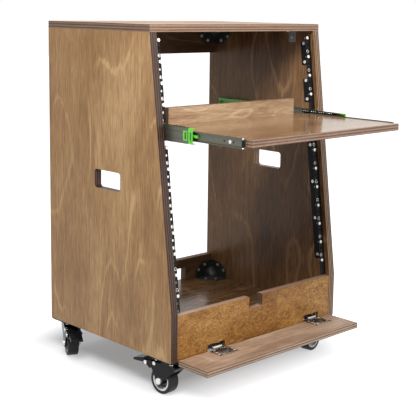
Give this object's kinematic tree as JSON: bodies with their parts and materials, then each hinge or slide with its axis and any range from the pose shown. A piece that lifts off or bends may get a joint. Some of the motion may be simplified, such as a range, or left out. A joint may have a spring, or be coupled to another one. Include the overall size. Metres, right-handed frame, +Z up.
{
  "type": "rack stand",
  "caption": "Rolling studio rack stand of stained plywood with slanted rack rails, a pull-out shelf, a fold-down front flap, hand holes and braked swivel casters.",
  "frame": {"origin": "on the floor, midway between the front edge of the pulled-out shelf and the cabinet's back, and midway between the side panels", "axes": "+X to the right as seen from the front, +Y to the back, +Z up"},
  "size_m": [0.5809, 0.6228, 0.7835],
  "materials": {
    "stained_plywood": "stained birch plywood, satin lacquer",
    "top_plywood": "stained birch plywood, satin lacquer",
    "inner_plywood": "dark stained plywood, satin lacquer",
    "golden_plywood": "figured golden birch, satin lacquer",
    "shelf_plywood": "dark stained plywood, glossy lacquer",
    "pale_plywood": "paler stained plywood, satin lacquer",
    "zinc_steel": "zinc plated",
    "bright_screws": "bright plated",
    "rail_steel": "black powder coat",
    "slide_steel": "grey plated",
    "cage_plastic": "matte",
    "green_plastic": "bright green",
    "nickel_hinge": "nickel plated",
    "black_steel": "black powder coat",
    "black_rubber": "smooth tread",
    "white_hub": "white ring and web"
  },
  "bodies": {
    "cabinet": {"side_panel_left": "stained_plywood", "side_panel_right": "stained_plywood", "top_panel": "top_plywood", "bottom_panel": "inner_plywood", "kick_board": "golden_plywood", "rear_top_rail": "inner_plywood", "rear_bottom_rail": "inner_plywood", "corner_brackets": "black_steel", "angle_brackets": "zinc_steel", "wood_screws": "bright_screws", "rack_rail_upper_left": "rail_steel", "rack_rail_upper_right": "rail_steel", "rack_rail_lower_left": "rail_steel", "rack_rail_lower_right": "rail_steel", "rack_screws": "bright_screws", "slide_outer_left": "slide_steel", "slide_outer_right": "slide_steel", "slide_guides": "green_plastic", "hinge_arms": "nickel_hinge", "hinge_pins": "nickel_hinge", "caster_plates": "black_steel", "caster_screws": "bright_screws"},
    "shelf": {"shelf_board": "shelf_plywood", "shelf_back_board": "stained_plywood", "slide_inner_left": "slide_steel", "slide_inner_right": "slide_steel", "shelf_screws": "bright_screws"},
    "flap": {"flap_board": "pale_plywood", "hinge_cups": "nickel_hinge", "cup_screws": "bright_screws"},
    "middle_left": {"slide_middle_left": "slide_steel", "slide_clip_left": "green_plastic"},
    "cage_left": {"ball_cage_left": "cage_plastic", "balls_left": "bright_screws"},
    "lever_left": {"slide_lever_left": "green_plastic"},
    "middle_right": {"slide_middle_right": "slide_steel", "slide_clip_right": "green_plastic"},
    "cage_right": {"ball_cage_right": "cage_plastic", "balls_right": "bright_screws"},
    "lever_right": {"slide_lever_right": "green_plastic"},
    "fork_front_left": {"fork_front_left": "black_steel", "axle_front_left": "bright_screws"},
    "wheel_front_left": {"tyre_front_left": "black_rubber", "hub_front_left": "white_hub"},
    "brake_front_left": {"brake_lever_front_left": "black_steel"},
    "fork_front_right": {"fork_front_right": "black_steel", "axle_front_right": "bright_screws"},
    "wheel_front_right": {"tyre_front_right": "black_rubber", "hub_front_right": "white_hub"},
    "brake_front_right": {"brake_lever_front_right": "black_steel"},
    "fork_rear_left": {"fork_rear_left": "black_steel", "axle_rear_left": "bright_screws"},
    "wheel_rear_left": {"tyre_rear_left": "black_rubber", "hub_rear_left": "white_hub"},
    "brake_rear_left": {"brake_lever_rear_left": "black_steel"},
    "fork_rear_right": {"fork_rear_right": "black_steel", "axle_rear_right": "bright_screws"},
    "wheel_rear_right": {"tyre_rear_right": "black_rubber", "hub_rear_right": "white_hub"},
    "brake_rear_right": {"brake_lever_rear_right": "black_steel"}
  },
  "joints": [
    {"name": "shelf_slide", "type": "slide", "parent": "cabinet", "child": "shelf", "axis": [0, 1, 0], "range_m": [0, 0.24]},
    {"name": "flap_hinge", "type": "hinge", "parent": "cabinet", "child": "flap", "pos_m": [0, -0.1184, 0.092], "axis": [-1, 0, 0], "range_deg": [0, 90]},
    {"name": "middle_left_slide", "type": "slide", "parent": "cabinet", "child": "middle_left", "axis": [0, 1, 0], "range_m": [0, 0.12]},
    {"name": "cage_left_slide", "type": "slide", "parent": "cabinet", "child": "cage_left", "axis": [0, 1, 0], "range_m": [0, 0.18]},
    {"name": "lever_left_hinge", "type": "hinge", "parent": "shelf", "child": "lever_left", "pos_m": [-0.2355, -0.131, 0.5634], "axis": [-1, 0, 0], "range_deg": [0, 8], "stiffness_Nm_per_rad": 0.05},
    {"name": "middle_right_slide", "type": "slide", "parent": "cabinet", "child": "middle_right", "axis": [0, 1, 0], "range_m": [0, 0.12]},
    {"name": "cage_right_slide", "type": "slide", "parent": "cabinet", "child": "cage_right", "axis": [0, 1, 0], "range_m": [0, 0.18]},
    {"name": "lever_right_hinge", "type": "hinge", "parent": "shelf", "child": "lever_right", "pos_m": [0.2355, -0.131, 0.5634], "axis": [-1, 0, 0], "range_deg": [0, 8], "stiffness_Nm_per_rad": 0.05},
    {"name": "swivel_front_left", "type": "hinge", "parent": "cabinet", "child": "fork_front_left", "pos_m": [-0.232, -0.088, 0.075], "axis": [0, 0, 1], "continuous": true},
    {"name": "wheel_front_left_spin", "type": "hinge", "parent": "fork_front_left", "child": "wheel_front_left", "pos_m": [-0.23353, -0.06605, 0.03], "axis": [0.9976, 0.0698, 0], "continuous": true},
    {"name": "brake_front_left_hinge", "type": "hinge", "parent": "fork_front_left", "child": "brake_front_left", "pos_m": [-0.23458, -0.05109, 0.066], "axis": [0.9976, 0.0698, 0], "range_deg": [-12, 0]},
    {"name": "swivel_front_right", "type": "hinge", "parent": "cabinet", "child": "fork_front_right", "pos_m": [0.232, -0.088, 0.075], "axis": [0, 0, 1], "continuous": true},
    {"name": "wheel_front_right_spin", "type": "hinge", "parent": "fork_front_right", "child": "wheel_front_right", "pos_m": [0.21021, -0.09106, 0.03], "axis": [-0.1392, 0.9903, 0], "continuous": true},
    {"name": "brake_front_right_hinge", "type": "hinge", "parent": "fork_front_right", "child": "brake_front_right", "pos_m": [0.19536, -0.09315, 0.066], "axis": [-0.1392, 0.9903, 0], "range_deg": [-12, 0]},
    {"name": "swivel_rear_left", "type": "hinge", "parent": "cabinet", "child": "fork_rear_left", "pos_m": [-0.232, 0.28, 0.075], "axis": [0, 0, 1], "continuous": true},
    {"name": "wheel_rear_left_spin", "type": "hinge", "parent": "fork_rear_left", "child": "wheel_rear_left", "pos_m": [-0.24199, 0.2604, 0.03], "axis": [-0.891, 0.454, 0], "continuous": true},
    {"name": "brake_rear_left_hinge", "type": "hinge", "parent": "fork_rear_left", "child": "brake_rear_left", "pos_m": [-0.2488, 0.24703, 0.066], "axis": [-0.891, 0.454, 0], "range_deg": [-12, 0]},
    {"name": "swivel_rear_right", "type": "hinge", "parent": "cabinet", "child": "fork_rear_right", "pos_m": [0.232, 0.28, 0.075], "axis": [0, 0, 1], "continuous": true},
    {"name": "wheel_rear_right_spin", "type": "hinge", "parent": "fork_rear_right", "child": "wheel_rear_right", "pos_m": [0.2413, 0.26006, 0.03], "axis": [-0.9063, -0.4226, 0], "continuous": true},
    {"name": "brake_rear_right_hinge", "type": "hinge", "parent": "fork_rear_right", "child": "brake_rear_right", "pos_m": [0.24764, 0.24647, 0.066], "axis": [-0.9063, -0.4226, 0], "range_deg": [-12, 0]}
  ],
  "couplings": [
    {"joint": "middle_left_slide", "follows": "shelf_slide", "ratio": 0.5},
    {"joint": "cage_left_slide", "follows": "shelf_slide", "ratio": 0.75},
    {"joint": "middle_right_slide", "follows": "shelf_slide", "ratio": 0.5},
    {"joint": "cage_right_slide", "follows": "shelf_slide", "ratio": 0.75}
  ]
}
